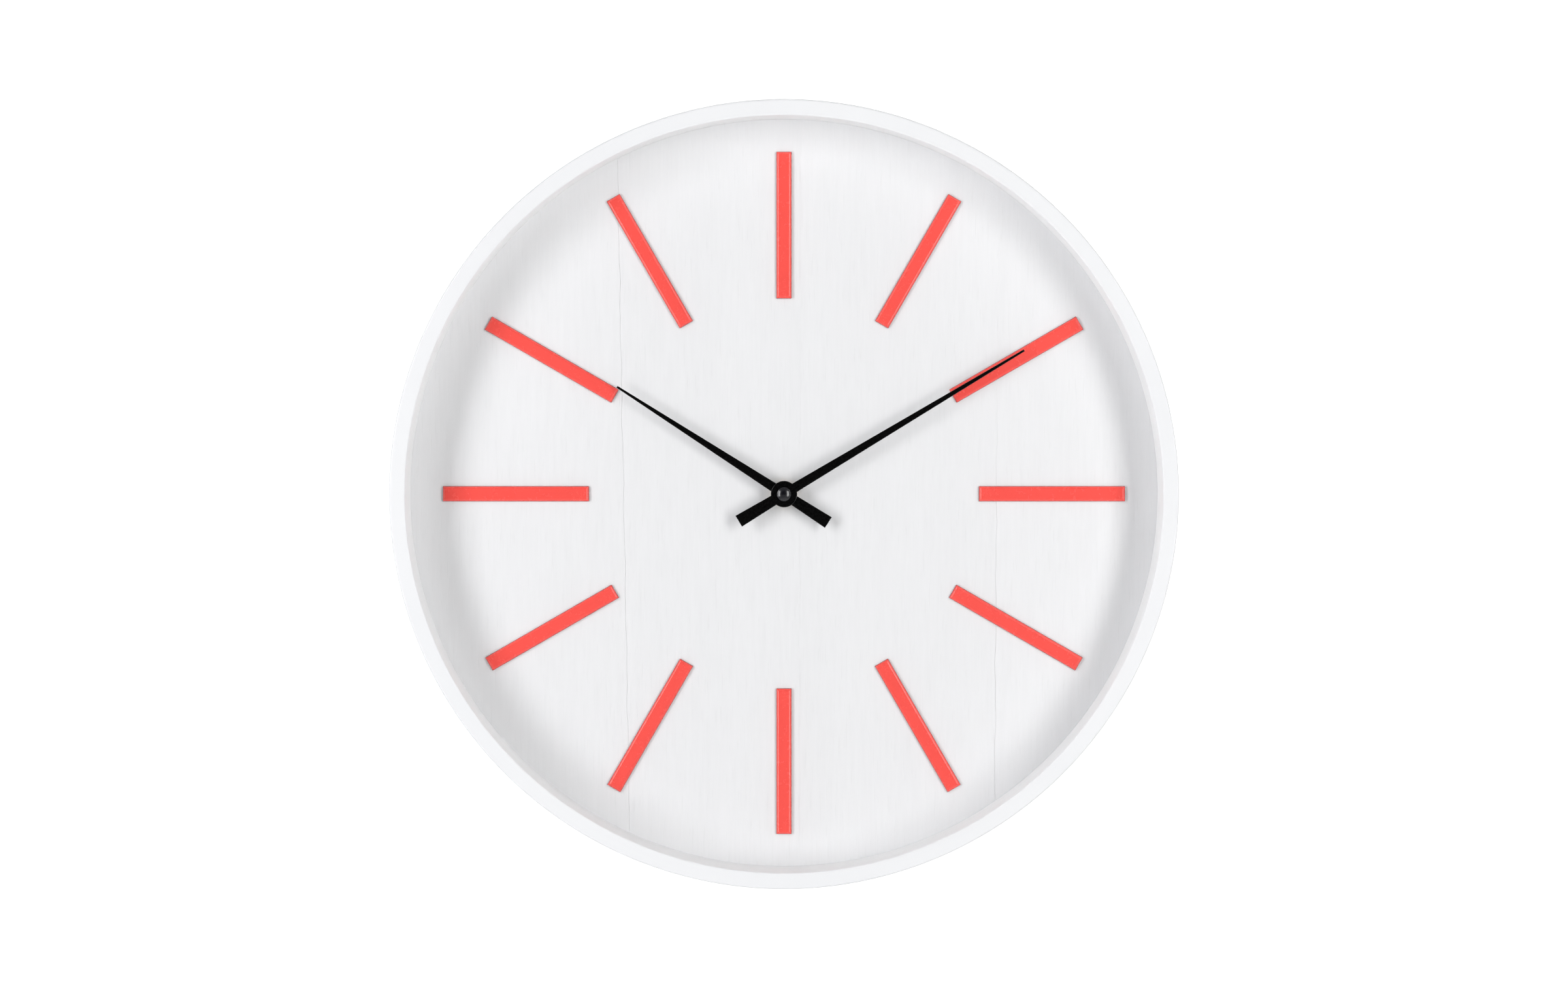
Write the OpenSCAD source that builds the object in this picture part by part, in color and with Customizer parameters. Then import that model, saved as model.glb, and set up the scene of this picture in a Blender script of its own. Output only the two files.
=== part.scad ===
// Round wall clock: a deep white ring, a veneered dial with raised hour strips, two flat
// hands and a battery quartz movement behind the dial. The origin is the centre of the
// keyhole that hangs on the wall screw, in the plane of the wall. The front faces -Y and
// +Z is up. The two hands stand at about ten past ten.

/* [Ring] */
// Outside diameter of the ring
case_d = 400; // [380:1:440]
// Depth of the ring, from the wall to its front rim
case_depth = 52; // [50:0.5:70]
// Thickness of the ring's wall
wall_t = 8.3; // [6:0.1:12]
// Radius on the outer edge of the front rim
rim_round = 1.6; // [0.4:0.1:3]
// Radius on the inner edge of the front rim
lip_round = 0.7; // [0.2:0.1:2]
// Radius on the two back edges
back_round = 1; // [0.2:0.1:2]

/* [Dial] */
// Depth of the dial below the front rim
recess = 28; // [20:0.5:30]
// Thickness of the dial's board
board_t = 3.4; // [2.5:0.1:5]
// Thickness of the veneer on it
veneer_t = 0.6; // [0.4:0.1:1.2]
// Gap all round between the dial and the ring
dial_gap = 0.4; // [0.2:0.05:1]
// Gap at the joints of the veneer
seam_gap = 0.1; // [0.04:0.02:0.3]
// Diameter of the hole for the movement's bush
dial_hole_d = 8.5; // [8.2:0.1:10]

/* [Hour strips] */
// Distance from the hands' axis to a strip's inner end
baton_start = 100; // [80:1:115]
// Length of a strip
baton_len = 75; // [40:1:75]
// Width of a strip
baton_w = 7.8; // [4:0.1:12]
// Height of a strip above the dial
baton_h = 2; // [1.2:0.1:3]
// Radius along a strip's top edges
baton_round = 0.6; // [0.2:0.05:1]

/* [Hands] */
// Length of the minute hand, from the axis to its tip
minute_len = 143; // [110:1:170]
// Length of the hour hand, from the axis to its tip
hour_len = 101.5; // [70:0.5:130]
// Length of each hand's tail
tail_len = 27; // [15:0.5:35]
// Width of a hand at the end of its tail
tail_w = 6.5; // [4:0.1:9]
// Width of a hand where it crosses the axis
hub_w = 5.1; // [3:0.1:7]
// Width of a hand at its tip
tip_w = 1.1; // [0.6:0.1:3]
// Thickness of the hands
hand_t = 0.6; // [0.4:0.1:1]
// Diameter of the round boss of each hand
boss_d = 13.5; // [12:0.1:18]
// Diameter of the domed cap
cap_d = 7.1; // [6:0.1:9]
// Angle of the minute hand, clockwise from twelve
minute_angle = 59.1; // [0:0.1:360]
// Angle of the hour hand, clockwise from twelve
hour_angle = 302.7; // [0:0.1:360]

/* [Hanger] */
// Height of the keyhole's round entry above the hands' axis
hang_drop = 156; // [150:1:160]
// Diameter of the keyhole's round entry, for the head of the wall screw
entry_d = 9; // [8:0.1:10]
// Width of the keyhole's slot, for the shank of the wall screw
slot_w = 4.6; // [4:0.1:5]
// Rise of the slot from the entry to the seat of the shank
slot_rise = 9; // [7:0.5:11]
// Thickness of the steel plate
plate_t = 1.5; // [1:0.1:2]

/* [Movement] */
// Side of the square movement case
mov_side = 56; // [56:0.5:60]
// Thickness of the movement case
mov_t = 16; // [16:0.1:17]
// Thickness of its plastic walls
shell_t = 1; // [0.8:0.1:1.2]
// Diameter of the threaded bush
bush_d = 8; // [7.6:0.1:8.2]
// Distance from the hands' axis to the setting axis
setting_reach = 9; // [9:0.1:9.2]
// Distance from the hands' axis to the third wheel's axis
third_reach = 8.5; // [8.4:0.05:8.6]
// Distance from the hands' axis to the intermediate wheel's axis
inter_reach = 8.75; // [8.7:0.05:8.9]
// Distance from the intermediate wheel's axis to the rotor's axis
rotor_reach = 7.5; // [7.4:0.05:7.8]
// Thickness of the toothed wheels
wheel_t = 0.8; // [0.6:0.1:0.9]

/* [Battery] */
// Diameter of the AA cell
cell_d = 14.2; // [13.8:0.1:14.4]
// Length of the AA cell without its button
cell_len = 49.2; // [48.5:0.1:49.4]

/* [Hidden] */
$fn = 96;
eps = 0.01;
far = 60;

// Levels out of the wall, from back to front
case_r = case_d / 2;
inner_r = case_r - wall_t;
dial_z = case_depth - recess;
board_z = dial_z - veneer_t;
back_z = board_z - board_t;
dial_r = inner_r - dial_gap;
pad_t = 0.8;
pad_r = 11;
mov_z = back_z - pad_t;

// Rail behind the dial, and the keyhole plate on it
rail_low = 145;
rail_high = 177;
rail_glue = 0.1;
plate_low = 149;
plate_high = 173;
plate_w = 66;
pocket_depth = 9;
screw_x = 23;
screw_r = 1.75;
screw_head_r = 3.5;
screw_len = 15;
screw_tip = 3;
screw_fit = 0.05;

// Wood blocks between the dial's back and the ring
block_leg = 14;
block_arc = 13;
block_turns = [-6.5, 173.5, 218.5, 263.5, 308.5];

// Joints of the veneer: where each crosses the middle of the dial, and how far it leans
seam_x = [-82.3, 8.3, 109];
seam_lean = [-0.0174, 0.002, 0.004];
leaf_count = len(seam_x) + 1;

// Stack on the hands' axis in front of the dial
washer_r = 6.5;
washer_t = 0.5;
nut_t = 2.2;
nut_flats = 11;
bush_rise = 3.6;
hour_z = dial_z + 5.4;
minute_z = dial_z + 7.2;
pipe_r = 2.5;
pipe_bore_r = 1.68;
arbor_r = 1.6;
arbor_bore_r = 0.58;
seconds_r = 0.5;
pivot_r = 0.4;
running = 0.06;
cap_rise = 3.1;

// Depths of the movement's layers, measured from its front face towards the wall
floor_t = 1.4;
flange_t = 0.6;
hour_t = 2.4;
minute_t = 3.7;
bridge_t = 4.9;
bridge_thick = 0.8;
centre_t = 6.1;
third_t = 7.6;
seconds_t = 9;
inter_t = 10.4;
magnet_t = 11.7;
magnet_thick = 1.8;
magnet_r = 2.5;
core_t = 11.2;
stator_t = 12.0;
stator_thick = 0.8;
board_depth = 12.6;
pcb_thick = 1;
cover_t = mov_t - 1.2;
knob_gap = 0.5;
knob_thick = 1.6;
knob_r = 6;
stem_r = 1;
pinion_more = 0.1;

// Teeth and tooth sizes. A wheel of module m and n teeth is n * m across its pitch circle.
cannon_n = 12;
minute_n = 36;
minute_pinion_n = 10;
hour_n = 40;
seconds_pinion_n = 8;
third_n = 60;
third_pinion_n = 8;
centre_n = 64;
seconds_n = 60;
inter_pinion_n = 10;
inter_n = 50;
rotor_pinion_n = 10;
motion_m = 2 * setting_reach / (cannon_n + minute_n);
hour_m = 2 * setting_reach / (minute_pinion_n + hour_n);
third_m = 2 * third_reach / (seconds_pinion_n + third_n);
centre_m = 2 * third_reach / (third_pinion_n + centre_n);
seconds_m = 2 * inter_reach / (seconds_n + inter_pinion_n);
inter_m = 2 * rotor_reach / (inter_n + rotor_pinion_n);
pressure = 20;
wheel_top = 0.5;
pinion_top = 1;
tooth_slack = 0.06;

// Axes in the movement, as angles round the hands' axis
setting_turn = 150;
third_turn = 30;
inter_turn = 90;
rotor_turn = 45;
setting_at = setting_reach * [cos(setting_turn), sin(setting_turn)];
third_at = third_reach * [cos(third_turn), sin(third_turn)];
inter_at = inter_reach * [cos(inter_turn), sin(inter_turn)];
rotor_at = inter_at + rotor_reach * [cos(rotor_turn), sin(rotor_turn)];

// The movement case: the battery bay takes the lower part and the train the rest
half = mov_side / 2;
bay_wall_y = -half + shell_t + 15.8;
cell_y = -half + shell_t + 7.4;
cell_t = 8.6;
cell_x = -24;
button_r = 2.75;
button_len = 1.3;
contact_thick = 0.4;
latch_y = [0, 18];
latch_w = 4;
latch_thick = 0.8;
coil_x = 22;
coil_low = -4.6;
coil_high = 15.6;
core_low = -8;
core_high = 19;
core_w = 3;
board_low = 20.6;
board_high = 26.6;
post_r = 1.3;
bridge_posts = [[-17.5, -7.5], [15.5, -7.5], [15.5, 17], [-17.5, 17]];
core_posts = [[coil_x, core_low + core_w / 2], [coil_x, core_high - core_w / 2]];
peg_r = 0.6;
coil_flange = 0.8;
bobbin_w = 4.4;
bobbin_t0 = 10.4;
bobbin_t1 = 12.8;
stator_x = 10;
stator_w = 3;
board_side = 25.4;
board_mid = (board_low + board_high) / 2;
strip_t0 = 6;
strip_t1 = 11.5;

// Every piece is drawn lying on its back: x to the right, y up the dial, z out of the wall,
// with the hands' axis at the origin. This stands it up against the wall.
module hung() {
  translate([0, 0, -hang_drop]) rotate([90, 0, 0]) children();
}

// Depth in the movement of a level z out of the wall
function depth_of(z) = mov_z - z;

// A flat piece from depth t0 to depth t1 of the movement
module layer(t0, t1) {
  translate([0, 0, mov_z - t1]) linear_extrude(t1 - t0) children();
}

// A round rod from depth t0 to depth t1 of the movement
module rod(at, r, t0, t1) {
  translate([at.x, at.y, mov_z - t1]) cylinder(r = r, h = t1 - t0);
}

// A hole right through everything, along the hands' axis or beside it
module bore(at, r) {
  translate([at.x, at.y, -far]) cylinder(r = r, h = 2 * far);
}

// What rounding takes off a corner whose material lies towards +x +y
module edge_waste(at, turn, r) {
  translate(at) rotate(turn) difference() {
    translate([-1, -1]) square(r + 1);
    translate([r, r]) circle(r);
  }
}

// ---- Toothed wheels ----

function involute(a) = tan(a) * 180 / PI - a;
function polar(r, a) = [r * cos(a), r * sin(a)];

// Half the angle that a tooth fills at radius r, in degrees
function half_tooth(n, m, r) =
  let (pitch_r = n * m / 2, base_r = pitch_r * cos(pressure))
  let (slope = r > base_r ? acos(base_r / r) : 0)
  90 / n - tooth_slack / 2 / pitch_r * 180 / PI + involute(pressure) - involute(slope);

// Radii of the points up one flank, from root to tip
function flank(n, m, top) =
  let (pitch_r = n * m / 2, base_r = pitch_r * cos(pressure))
  let (root_r = pitch_r - (1.7 - top) * m, tip_r = pitch_r + top * m)
  root_r < base_r ? [root_r, base_r, (base_r + tip_r) / 2, tip_r] : [root_r, pitch_r, tip_r];

function gear_points(n, m, top) =
  let (up = flank(n, m, top), k = len(up))
  [for (i = [0:n - 1], j = [0:2 * k - 1])
    let (r = up[j < k ? j : 2 * k - 1 - j], side = j < k ? -1 : 1)
    polar(r, i * 360 / n + side * half_tooth(n, m, r))];

module gear(n, m, top) polygon(gear_points(n, m, top));

// Turn of the second of two wheels that mesh, where the first is turned by turn1 and the
// second's axis lies at angle theta from the first's
function meshed(theta, n1, turn1, n2) =
  theta + 180 - 360 / n2 * (0.5 - (theta - turn1) * n1 / 360);

module wheel(at, turn, n, m, t) {
  translate(at) rotate(turn) layer(t, t + wheel_t) gear(n, m, wheel_top);
}

module pinion(at, turn, n, m, t) {
  translate(at) rotate(turn) layer(t - pinion_more, t + wheel_t + pinion_more) gear(n, m, pinion_top);
}

// ---- Ring and dial ----

module case_ring() {
  color("white") hung() rotate_extrude() translate([inner_r, 0]) difference() {
    square([wall_t, case_depth]);
    edge_waste([0, 0], 0, back_round);
    edge_waste([wall_t, 0], 90, back_round);
    edge_waste([wall_t, case_depth], 180, rim_round);
    edge_waste([0, case_depth], 270, lip_round);
  }
}

module dial_board() {
  color("tan") hung() translate([0, 0, back_z]) linear_extrude(board_t) difference() {
    circle(dial_r);
    circle(d = dial_hole_d);
  }
}

// Where joint i of the veneer runs at height y
function seam_at(i, y) =
  i < 0 ? -case_r : i >= len(seam_x) ? case_r : seam_x[i] + seam_lean[i] * y;

module veneer_leaf(i) {
  left = i - 2;
  right = i - 1;
  g = seam_gap / 2;
  color("whitesmoke") hung() translate([0, 0, board_z]) linear_extrude(veneer_t) difference() {
    intersection() {
      circle(dial_r);
      polygon([
        [seam_at(left, -case_r) + g, -case_r], [seam_at(right, -case_r) - g, -case_r],
        [seam_at(right, case_r) - g, case_r], [seam_at(left, case_r) + g, case_r]
      ]);
    }
    circle(d = dial_hole_d);
  }
}

// One strip is a bar whose four top edges are rounded
module baton_bar() {
  intersection() {
    rotate([90, 0, 0]) translate([0, 0, -baton_len / 2]) linear_extrude(baton_len) baton_section(baton_w);
    rotate([90, 0, 90]) translate([0, 0, -baton_w / 2]) linear_extrude(baton_w) baton_section(baton_len);
  }
}

module baton_section(w) {
  translate([-w / 2, 0]) difference() {
    square([w, baton_h]);
    edge_waste([w, baton_h], 180, baton_round);
    edge_waste([0, baton_h], 270, baton_round);
  }
}

module baton(i) {
  color("tomato") hung() rotate(-30 * i) translate([0, baton_start + baton_len / 2, dial_z]) baton_bar();
}

module glue_blocks() {
  r = inner_r - rail_glue;
  color("burlywood") hung() for (turn = block_turns) rotate(turn) rotate_extrude(angle = block_arc)
    polygon([[r - block_leg, back_z], [r, back_z], [r, back_z - block_leg]]);
}

// ---- Hands ----

// A flat blade with a blunt tail, through a round boss
module hand_blade(len) {
  polygon([
    [-tail_w / 2, -tail_len], [tail_w / 2, -tail_len], [hub_w / 2, 0],
    [tip_w / 2, len], [-tip_w / 2, len], [-hub_w / 2, 0]
  ]);
  circle(d = boss_d);
}

module hour_hand() {
  collet_r = 3.6;
  collet_len = 1.4;
  color("black") hung() rotate(-hour_angle) difference() {
    union() {
      translate([0, 0, hour_z]) linear_extrude(hand_t) hand_blade(hour_len);
      translate([0, 0, hour_z - collet_len]) cylinder(r = collet_r, h = collet_len + eps);
    }
    bore([0, 0], pipe_r);
  }
}

module minute_hand() {
  collet_r = 2.6;
  collet_len = 0.5;
  color("black") hung() rotate(-minute_angle) difference() {
    union() {
      translate([0, 0, minute_z]) linear_extrude(hand_t) hand_blade(minute_len);
      translate([0, 0, minute_z - collet_len]) cylinder(r = collet_r, h = collet_len + eps);
    }
    bore([0, 0], arbor_r);
  }
}

// Closed cap nut with a domed top over a short straight side
module hand_cap() {
  side = 0.9;
  thread_deep = 1.2;
  dome = cap_rise - side;
  cap_r = cap_d / 2;
  dome_r = (cap_r * cap_r + dome * dome) / (2 * dome);
  color("black") hung() translate([0, 0, minute_z + hand_t]) difference() {
    rotate_extrude() intersection() {
      union() {
        square([cap_r, side]);
        translate([0, cap_rise - dome_r]) circle(dome_r);
      }
      square([cap_r, cap_rise]);
    }
    translate([0, 0, -eps]) cylinder(r = arbor_r, h = thread_deep);
  }
}

// ---- Hanger ----

module keyhole(r, slot_r) {
  translate([0, hang_drop]) circle(r);
  translate([0, hang_drop + slot_rise]) circle(slot_r);
  translate([-slot_r, hang_drop]) square([2 * slot_r, slot_rise]);
}

module hanger_rail() {
  pocket_r = entry_d / 2 + 1;
  color("wheat") hung() difference() {
    translate([0, 0, plate_t]) linear_extrude(back_z - plate_t) intersection() {
      circle(inner_r - rail_glue);
      translate([-case_r, rail_low]) square([case_d, rail_high - rail_low]);
    }
    translate([0, 0, plate_t - eps]) linear_extrude(pocket_depth) keyhole(pocket_r, pocket_r);
    for (side = [-1, 1]) translate([side * screw_x, (plate_low + plate_high) / 2, 0])
      cylinder(r = screw_r, h = screw_len + 1);
  }
}

module hanger_plate() {
  corner = 4;
  color("silver") hung() difference() {
    linear_extrude(plate_t) difference() {
      translate([-plate_w / 2, plate_low]) square([plate_w, plate_high - plate_low]);
      edge_waste([-plate_w / 2, plate_low], 0, corner);
      edge_waste([plate_w / 2, plate_low], 90, corner);
      edge_waste([plate_w / 2, plate_high], 180, corner);
      edge_waste([-plate_w / 2, plate_high], 270, corner);
      keyhole(entry_d / 2, slot_w / 2);
    }
    for (side = [-1, 1]) translate([side * screw_x, (plate_low + plate_high) / 2, -eps])
      cylinder(r1 = screw_head_r + screw_fit, r2 = screw_r + screw_fit, h = plate_t + 2 * eps);
  }
}

// Countersunk wood screws with a crossed drive
module hanger_screws() {
  cross_len = 4;
  cross_w = 0.8;
  cross_deep = 0.9;
  color("gainsboro") hung() for (side = [-1, 1])
    translate([side * screw_x, (plate_low + plate_high) / 2, 0]) difference() {
      union() {
        cylinder(r1 = screw_head_r, r2 = screw_r, h = plate_t);
        cylinder(r = screw_r, h = screw_len - screw_tip);
        translate([0, 0, screw_len - screw_tip]) cylinder(r1 = screw_r, r2 = 0.2, h = screw_tip);
      }
      for (turn = [0, 90]) rotate(turn) translate([-cross_len / 2, -cross_w / 2, -eps])
        cube([cross_len, cross_w, cross_deep]);
    }
}

// ---- Clamping the movement to the dial ----

module threaded_bush() {
  pitch = 0.75;
  groove = 0.4;
  thread_n = 7;
  flange_w = 2;
  top = dial_z + bush_rise;
  outer_r = bush_d / 2;
  bore_r = pipe_r + 0.08;
  color("goldenrod") hung() difference() {
    union() {
      translate([0, 0, mov_z - floor_t]) cylinder(r = outer_r, h = top - mov_z + floor_t);
      rod([0, 0], outer_r + flange_w, floor_t, floor_t + flange_t);
    }
    bore([0, 0], bore_r);
    rotate_extrude() for (i = [0:thread_n - 1]) translate([outer_r, top - pitch * (i + 0.7)])
      polygon([[0.1, -pitch / 2], [-groove, 0], [0.1, pitch / 2]]);
  }
}

module dial_nut() {
  nut_r = nut_flats / 2 / cos(30);
  bevel_w = 0.5;
  bevel_h = 0.3;
  color("goldenrod") hung() translate([0, 0, dial_z + washer_t]) difference() {
    intersection() {
      cylinder(r = nut_r, h = nut_t, $fn = 6);
      rotate_extrude() polygon([
        [0, 0], [nut_r - bevel_w, 0], [nut_r, bevel_h],
        [nut_r, nut_t - bevel_h], [nut_r - bevel_w, nut_t], [0, nut_t]
      ]);
    }
    bore([0, 0], bush_d / 2);
  }
}

module nut_washer() {
  color("goldenrod") hung() translate([0, 0, dial_z]) linear_extrude(washer_t) difference() {
    circle(washer_r);
    circle(d = bush_d + 0.2);
  }
}

module rubber_washer() {
  color("dimgray") hung() layer(-pad_t, 0) difference() {
    circle(pad_r);
    circle(d = bush_d + 0.2);
  }
}

// ---- Movement case ----

module movement_front() {
  corner = 2;
  color([0.1, 0.1, 0.11]) hung() difference() {
    union() {
      layer(0, mov_t) difference() {
        translate([-half, -half]) square(mov_side);
        for (k = [0:3]) rotate(90 * k) edge_waste([-half, -half], 0, corner);
        translate([-half + shell_t, bay_wall_y]) square([mov_side - 2 * shell_t, half - shell_t - bay_wall_y]);
        translate([-half + shell_t, -half + shell_t])
          square([mov_side - 2 * shell_t, bay_wall_y - shell_t + half - shell_t]);
      }
      layer(0, floor_t) translate([-half + 1, -half + 1]) square(mov_side - 2);
      for (at = bridge_posts) rod(at, post_r, floor_t - eps, bridge_t);
      for (at = bridge_posts) rod(at, peg_r, floor_t, bridge_t + bridge_thick + 0.3);
      for (at = core_posts) rod(at, post_r, floor_t - eps, core_t);
    }
    rod([0, 0], bush_d / 2 + screw_fit, -1, floor_t + 1);
    for (side = [-1, 1]) translate([side * (half - shell_t - contact_thick / 2), bay_wall_y - shell_t / 2])
      layer(5, cover_t) square([contact_thick, 2 * shell_t], center = true);
    for (side = [-1, 1], y = latch_y) translate([side * half, y])
      layer(cover_t, cover_t + latch_thick + 0.1) square([3 * shell_t, latch_w + 0.3], center = true);
  }
}

module movement_cover() {
  fit = 0.15;
  low = bay_wall_y + fit;
  pivot_boss_r = 1.4;
  stator_posts = [[11.5, -6.5], [11.5, 17.5]];
  rib_at = [9, 18];
  rib_pitch = 2;
  rib_w = 0.8;
  rib_len = 9;
  rib_deep = 0.4;
  color([0.13, 0.13, 0.14]) hung() difference() {
    union() {
      layer(cover_t, mov_t) translate([-half + shell_t + fit, low])
        square([mov_side - 2 * shell_t - 2 * fit, half - shell_t - fit - low]);
      for (y = latch_y) layer(cover_t + 0.05, cover_t + latch_thick)
        translate([-half + 0.2, y - latch_w / 2]) square([mov_side - 0.4, latch_w]);
      for (at = [third_at, inter_at, rotor_at, [0, 0]]) rod(at, pivot_boss_r, cover_t - 1.2, cover_t + eps);
      for (at = stator_posts) rod(at, post_r, stator_t + stator_thick, cover_t + eps);
    }
    for (at = [third_at, inter_at, rotor_at]) rod(at, pivot_r + running, cover_t - 2, cover_t + 0.4);
    rod([0, 0], seconds_r + running, cover_t - 2, cover_t + 0.4);
    rod(setting_at, stem_r + running, cover_t - 2, mov_t + 1);
    for (i = [-2:2]) translate([rib_at.x + i * rib_pitch, rib_at.y])
      layer(mov_t - rib_deep, mov_t + 1) square([rib_w, rib_len], center = true);
  }
}

module train_plate() {
  low = [-20, -10];
  high = [18.4, 19.6];
  color("dimgray") hung() layer(bridge_t, bridge_t + bridge_thick) difference() {
    translate(low) square(high - low);
    circle(arbor_r + 0.4);
    for (at = bridge_posts) translate(at) circle(peg_r);
    for (at = [third_at, inter_at, rotor_at]) translate(at) circle(pivot_r + running);
    translate(setting_at) circle(pivot_r + running);
  }
}

// ---- Motion work: drives the hour hand from the minute hand, and sets both ----

minute_mesh = meshed(setting_turn, cannon_n, 0, minute_n);
hour_mesh = meshed(setting_turn + 180, minute_pinion_n, 0, hour_n);

module minute_pipe() {
  color("gold") hung() difference() {
    union() {
      pinion([0, 0], 0, cannon_n, motion_m, minute_t);
      rod([0, 0], arbor_r, depth_of(minute_z + hand_t + 1.1), third_t - 0.5);
    }
    bore([0, 0], arbor_bore_r);
  }
}

module hour_wheel() {
  color("ivory") hung() difference() {
    union() {
      wheel([0, 0], hour_mesh, hour_n, hour_m, hour_t);
      rod([0, 0], pipe_r, depth_of(hour_z + hand_t + 0.2), hour_t + eps);
    }
    bore([0, 0], pipe_bore_r);
  }
}

module minute_wheel() {
  color("ivory") hung() {
    wheel(setting_at, minute_mesh, minute_n, motion_m, minute_t);
    pinion(setting_at, 0, minute_pinion_n, hour_m, hour_t);
    rod(setting_at, 1, hour_t, minute_t + wheel_t);
    rod(setting_at, pivot_r, floor_t + 0.1, cover_t - 0.6);
    rod(setting_at, stem_r, cover_t - 0.7, mov_t + knob_gap + eps);
  }
}

module setting_knob() {
  grips = 24;
  grip_r = 0.6;
  slot_deep = 0.5;
  slot = [7, 1.2];
  color("ivory") hung() difference() {
    rod(setting_at, knob_r, mov_t + knob_gap, mov_t + knob_gap + knob_thick);
    for (i = [0:grips - 1]) translate(setting_at) rotate(i * 360 / grips) translate([knob_r + 0.25, 0])
      layer(mov_t, mov_t + 4) circle(grip_r, $fn = 24);
    translate(setting_at) layer(mov_t + knob_gap + knob_thick - slot_deep, mov_t + 4) square(slot, center = true);
  }
}

// ---- Going train: from the stepping rotor down to the minute arbor ----

third_mesh = meshed(third_turn, seconds_pinion_n, 0, third_n);
centre_mesh = meshed(third_turn + 180, third_pinion_n, 0, centre_n);
inter_mesh = meshed(inter_turn, seconds_n, 0, inter_pinion_n);
rotor_mesh = meshed(rotor_turn, inter_n, 0, rotor_pinion_n);

module centre_wheel() {
  color("ivory") hung() difference() {
    wheel([0, 0], centre_mesh, centre_n, centre_m, centre_t);
    bore([0, 0], arbor_r + running);
  }
}

module third_wheel() {
  color("ivory") hung() {
    wheel(third_at, third_mesh, third_n, third_m, third_t);
    pinion(third_at, 0, third_pinion_n, centre_m, centre_t);
    rod(third_at, 0.7, centre_t, third_t);
    rod(third_at, pivot_r, bridge_t + 0.1, cover_t + 0.3);
  }
}

module seconds_wheel() {
  color("ivory") hung() {
    wheel([0, 0], 0, seconds_n, seconds_m, seconds_t);
    pinion([0, 0], 0, seconds_pinion_n, third_m, third_t);
    rod([0, 0], 0.7, third_t, seconds_t);
    rod([0, 0], seconds_r, depth_of(minute_z + hand_t + 0.9), cover_t + 0.3);
  }
}

module intermediate_wheel() {
  color("ivory") hung() {
    wheel(inter_at, 0, inter_n, inter_m, inter_t);
    pinion(inter_at, inter_mesh, inter_pinion_n, seconds_m, seconds_t);
    rod(inter_at, 0.7, seconds_t, inter_t);
    rod(inter_at, pivot_r, bridge_t + 0.1, cover_t + 0.3);
  }
}

module rotor_pinion() {
  color("ivory") hung() {
    pinion(rotor_at, rotor_mesh, rotor_pinion_n, inter_m, inter_t);
    rod(rotor_at, pivot_r, bridge_t + 0.1, cover_t + 0.3);
    rod(rotor_at, 1, inter_t, magnet_t);
  }
}

module rotor_magnet() {
  color("gray") hung() difference() {
    rod(rotor_at, magnet_r, magnet_t, magnet_t + magnet_thick);
    bore(rotor_at, pivot_r);
  }
}

// ---- Stepping motor ----

module stator() {
  pole_r = 5;
  pole_w = 8;
  gap_r = 3;
  notch_r = 0.5;
  notch_turn = 70;
  color("silver") hung() layer(stator_t, stator_t + stator_thick) difference() {
    union() {
      translate(rotor_at) circle(pole_r);
      translate([rotor_at.x, rotor_at.y - pole_w / 2]) square(pole_w);
      translate([stator_x, core_low]) square([stator_w, core_high - core_low]);
      for (y = [core_low, core_high - core_w]) translate([stator_x, y])
        square([coil_x + core_w / 2 - stator_x, core_w]);
    }
    translate(rotor_at) circle(gap_r);
    for (k = [0, 1]) translate(rotor_at) rotate(180 * k + notch_turn) translate([gap_r, 0])
      circle(notch_r, $fn = 24);
  }
}

module coil_core() {
  color("silver") hung() layer(core_t, core_t + 0.8)
    translate([coil_x - core_w / 2, core_low]) square([core_w, core_high - core_low]);
}

module coil_bobbin() {
  flange_size = [6.4, coil_flange];
  color("white") hung() difference() {
    union() {
      for (y = [coil_low, coil_high - coil_flange]) translate([coil_x - flange_size.x / 2, y])
        layer(8.8, 14.4) square(flange_size);
      translate([coil_x - bobbin_w / 2, coil_low]) layer(bobbin_t0, bobbin_t1)
        square([bobbin_w, coil_high - coil_low]);
    }
    translate([coil_x - core_w / 2, core_low]) layer(core_t, core_t + 0.8) square([core_w, core_high - core_low]);
  }
}

// Enamelled copper wire, wound to a rounded block
module coil_winding() {
  y0 = coil_low + coil_flange;
  y1 = coil_high - coil_flange;
  size = [6, 5.2];
  corner = 1.4;
  color("peru") hung() difference() {
    translate([coil_x, y0, mov_z - (bobbin_t0 + bobbin_t1) / 2]) rotate([-90, 0, 0]) linear_extrude(y1 - y0)
      difference() {
        square(size, center = true);
        for (sx = [0, 1], sy = [0, 1]) mirror([sx, 0]) mirror([0, sy]) edge_waste(-size / 2, 0, corner);
      }
    translate([coil_x - bobbin_w / 2, coil_low]) layer(bobbin_t0, bobbin_t1)
      square([bobbin_w, coil_high - coil_low]);
  }
}

// ---- Electronics and power ----

module circuit_board() {
  hole_x = [-22, 16];
  hole_r = 0.9;
  color("darkgreen") hung() layer(board_depth, board_depth + pcb_thick) difference() {
    translate([-board_side, board_low]) square([2 * board_side, board_high - board_low]);
    for (x = hole_x) translate([x, board_mid]) circle(hole_r);
  }
}

module quartz_crystal() {
  can_r = 1;
  can_len = 6;
  wire_r = 0.15;
  wire_len = 2.4;
  wire_gap = 0.7;
  color("lightgray") hung() translate([0, board_mid, mov_z - board_depth + can_r]) rotate([0, 90, 0]) {
    translate([0, 0, -can_len]) cylinder(r = can_r, h = can_len);
    for (side = [-1, 1]) translate([0, side * wire_gap / 2, 0]) cylinder(r = wire_r, h = wire_len);
  }
}

module chip_cap() {
  chip_x = 8;
  drop_r = 3.6;
  drop_h = 1;
  color("black") hung() translate([chip_x, board_mid, mov_z - board_depth]) intersection() {
    cylinder(r = 2.4, h = drop_h);
    translate([0, 0, drop_h - drop_r]) sphere(drop_r);
  }
}

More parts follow.
